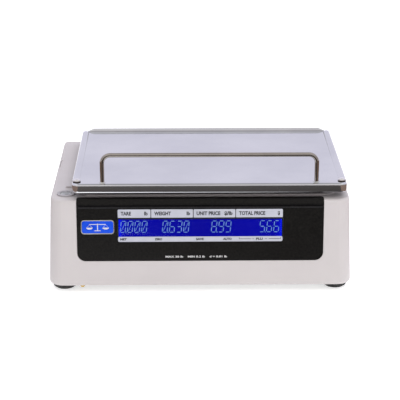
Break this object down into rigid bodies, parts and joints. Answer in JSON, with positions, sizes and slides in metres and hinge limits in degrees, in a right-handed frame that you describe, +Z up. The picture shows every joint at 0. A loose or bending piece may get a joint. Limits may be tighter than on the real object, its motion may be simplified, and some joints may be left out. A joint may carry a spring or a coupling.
{
  "type": "retail price scale",
  "caption": "Countertop price-computing scale with a railed steel platter, a customer display in a black front panel, a sloped keypad and levelling feet.",
  "frame": {"origin": "centre of the footprint, on the surface the scale stands on", "axes": "+Z up, -Y towards the customer's side with the front panel, +Y towards the operator's keypad, +X to the customer's right"},
  "size_m": [0.3768, 0.3498, 0.1787],
  "materials": {
    "housing": "fine moulded texture",
    "tray": "moulded",
    "black_panel": "fine texture with a satin sheen",
    "clear_window": "clear with printed strips",
    "lcd": "backlit blue",
    "circuit_board": "solder mask",
    "nameplate": "printed, silver rim",
    "stainless": "brushed, lightly worn",
    "rail_wire": "bright plated wire",
    "plated_steel": "zinc plated",
    "cast_alloy": "as cast",
    "alloy": "machined",
    "rubber": "matte",
    "battery_case": "moulded",
    "black_plastic": "moulded",
    "vial": "clear acrylic with liquid",
    "brass": "turned, dulled",
    "ribbon_cable": "flat cable",
    "knurled_foot": "knurled",
    "key_light": "moulded cap",
    "key_blue": "moulded cap"
  },
  "bodies": {
    "base": {"housing": "housing", "base_tray": "tray", "front_panel": "black_panel", "front_window": "clear_window", "front_lcd": "lcd", "front_board": "circuit_board", "nameplate": "nameplate", "spider": "cast_alloy", "cushions": "rubber", "load_cell": "alloy", "load_pedestal": "cast_alloy", "hub_block": "alloy", "cell_bolts": "plated_steel", "stop_screw": "plated_steel", "main_board": "circuit_board", "board_screws": "plated_steel", "battery": "battery_case", "battery_cover": "tray", "cover_screws": "plated_steel", "switch_bezel": "black_plastic", "power_jack": "black_plastic", "level_cup": "black_plastic", "level_vial": "vial", "operator_panel": "black_panel", "key_board": "circuit_board", "rear_window": "clear_window", "rear_lcd": "lcd", "rear_board": "circuit_board", "housing_screws": "plated_steel", "seal_screw": "brass", "front_ribbon": "ribbon_cable", "rear_ribbon": "ribbon_cable"},
    "platter": {"platter": "stainless", "rail": "rail_wire", "rail_nuts": "plated_steel"},
    "power_rocker": {"power_rocker": "black_plastic"},
    "foot_pad_fl": {"foot_pad_fl": "rubber"},
    "foot_wheel_fl": {"foot_wheel_fl": "knurled_foot"},
    "foot_pad_fr": {"foot_pad_fr": "rubber"},
    "foot_wheel_fr": {"foot_wheel_fr": "knurled_foot"},
    "foot_pad_bl": {"foot_pad_bl": "rubber"},
    "foot_wheel_bl": {"foot_wheel_bl": "knurled_foot"},
    "foot_pad_br": {"foot_pad_br": "rubber"},
    "foot_wheel_br": {"foot_wheel_br": "knurled_foot"},
    "key_seven": {"key_seven": "key_light"},
    "key_eight": {"key_eight": "key_light"},
    "key_nine": {"key_nine": "key_light"},
    "key_tare": {"key_tare": "key_blue"},
    "key_four": {"key_four": "key_light"},
    "key_five": {"key_five": "key_light"},
    "key_six": {"key_six": "key_light"},
    "key_zero_set": {"key_zero_set": "key_blue"},
    "key_one": {"key_one": "key_light"},
    "key_two": {"key_two": "key_light"},
    "key_three": {"key_three": "key_light"},
    "key_plu": {"key_plu": "key_blue"},
    "key_clear": {"key_clear": "key_light"},
    "key_zero": {"key_zero": "key_light"},
    "key_point": {"key_point": "key_light"},
    "key_save": {"key_save": "key_blue"}
  },
  "joints": [
    {"name": "platter_lift", "type": "slide", "parent": "base", "child": "platter", "axis": [0, 0, 1], "range_m": [0, 0.06]},
    {"name": "rocker_tip", "type": "hinge", "parent": "base", "child": "power_rocker", "pos_m": [0.18139, 0.095, 0.04179], "axis": [-0.0349, 0, 0.9994], "range_deg": [0, 16]},
    {"name": "foot_fl_rise", "type": "slide", "parent": "base", "child": "foot_pad_fl", "axis": [0, 0, 1], "range_m": [-0.005, 0.00031]},
    {"name": "foot_fl_turn", "type": "hinge", "parent": "foot_pad_fl", "child": "foot_wheel_fl", "pos_m": [-0.17, -0.146, 0], "axis": [0, 0, 1], "range_deg": [-1441, 91]},
    {"name": "foot_fr_rise", "type": "slide", "parent": "base", "child": "foot_pad_fr", "axis": [0, 0, 1], "range_m": [-0.005, 0.00031]},
    {"name": "foot_fr_turn", "type": "hinge", "parent": "foot_pad_fr", "child": "foot_wheel_fr", "pos_m": [0.17, -0.146, 0], "axis": [0, 0, 1], "range_deg": [-1441, 91]},
    {"name": "foot_bl_rise", "type": "slide", "parent": "base", "child": "foot_pad_bl", "axis": [0, 0, 1], "range_m": [-0.005, 0.00031]},
    {"name": "foot_bl_turn", "type": "hinge", "parent": "foot_pad_bl", "child": "foot_wheel_bl", "pos_m": [-0.17, 0.146, 0], "axis": [0, 0, 1], "range_deg": [-1441, 91]},
    {"name": "foot_br_rise", "type": "slide", "parent": "base", "child": "foot_pad_br", "axis": [0, 0, 1], "range_m": [-0.005, 0.00031]},
    {"name": "foot_br_turn", "type": "hinge", "parent": "foot_pad_br", "child": "foot_wheel_br", "pos_m": [0.17, 0.146, 0], "axis": [0, 0, 1], "range_deg": [-1441, 91]},
    {"name": "key_seven_press", "type": "slide", "parent": "base", "child": "key_seven", "axis": [0, -0.5832, -0.8123], "range_m": [0, 0.0012], "stiffness_N_per_m": 300, "springref_m": -0.0015},
    {"name": "key_eight_press", "type": "slide", "parent": "base", "child": "key_eight", "axis": [0, -0.5832, -0.8123], "range_m": [0, 0.0012], "stiffness_N_per_m": 300, "springref_m": -0.0015},
    {"name": "key_nine_press", "type": "slide", "parent": "base", "child": "key_nine", "axis": [0, -0.5832, -0.8123], "range_m": [0, 0.0012], "stiffness_N_per_m": 300, "springref_m": -0.0015},
    {"name": "key_tare_press", "type": "slide", "parent": "base", "child": "key_tare", "axis": [0, -0.5832, -0.8123], "range_m": [0, 0.0012], "stiffness_N_per_m": 300, "springref_m": -0.0015},
    {"name": "key_four_press", "type": "slide", "parent": "base", "child": "key_four", "axis": [0, -0.5832, -0.8123], "range_m": [0, 0.0012], "stiffness_N_per_m": 300, "springref_m": -0.0015},
    {"name": "key_five_press", "type": "slide", "parent": "base", "child": "key_five", "axis": [0, -0.5832, -0.8123], "range_m": [0, 0.0012], "stiffness_N_per_m": 300, "springref_m": -0.0015},
    {"name": "key_six_press", "type": "slide", "parent": "base", "child": "key_six", "axis": [0, -0.5832, -0.8123], "range_m": [0, 0.0012], "stiffness_N_per_m": 300, "springref_m": -0.0015},
    {"name": "key_zero_set_press", "type": "slide", "parent": "base", "child": "key_zero_set", "axis": [0, -0.5832, -0.8123], "range_m": [0, 0.0012], "stiffness_N_per_m": 300, "springref_m": -0.0015},
    {"name": "key_one_press", "type": "slide", "parent": "base", "child": "key_one", "axis": [0, -0.5832, -0.8123], "range_m": [0, 0.0012], "stiffness_N_per_m": 300, "springref_m": -0.0015},
    {"name": "key_two_press", "type": "slide", "parent": "base", "child": "key_two", "axis": [0, -0.5832, -0.8123], "range_m": [0, 0.0012], "stiffness_N_per_m": 300, "springref_m": -0.0015},
    {"name": "key_three_press", "type": "slide", "parent": "base", "child": "key_three", "axis": [0, -0.5832, -0.8123], "range_m": [0, 0.0012], "stiffness_N_per_m": 300, "springref_m": -0.0015},
    {"name": "key_plu_press", "type": "slide", "parent": "base", "child": "key_plu", "axis": [0, -0.5832, -0.8123], "range_m": [0, 0.0012], "stiffness_N_per_m": 300, "springref_m": -0.0015},
    {"name": "key_clear_press", "type": "slide", "parent": "base", "child": "key_clear", "axis": [0, -0.5832, -0.8123], "range_m": [0, 0.0012], "stiffness_N_per_m": 300, "springref_m": -0.0015},
    {"name": "key_zero_press", "type": "slide", "parent": "base", "child": "key_zero", "axis": [0, -0.5832, -0.8123], "range_m": [0, 0.0012], "stiffness_N_per_m": 300, "springref_m": -0.0015},
    {"name": "key_point_press", "type": "slide", "parent": "base", "child": "key_point", "axis": [0, -0.5832, -0.8123], "range_m": [0, 0.0012], "stiffness_N_per_m": 300, "springref_m": -0.0015},
    {"name": "key_save_press", "type": "slide", "parent": "base", "child": "key_save", "axis": [0, -0.5832, -0.8123], "range_m": [0, 0.0012], "stiffness_N_per_m": 300, "springref_m": -0.0015}
  ],
  "couplings": [
    {"joint": "foot_fl_turn", "follows": "foot_fl_rise", "rad_per_m": 5026.5},
    {"joint": "foot_fr_turn", "follows": "foot_fr_rise", "rad_per_m": 5026.5},
    {"joint": "foot_bl_turn", "follows": "foot_bl_rise", "rad_per_m": 5026.5},
    {"joint": "foot_br_turn", "follows": "foot_br_rise", "rad_per_m": 5026.5}
  ]
}
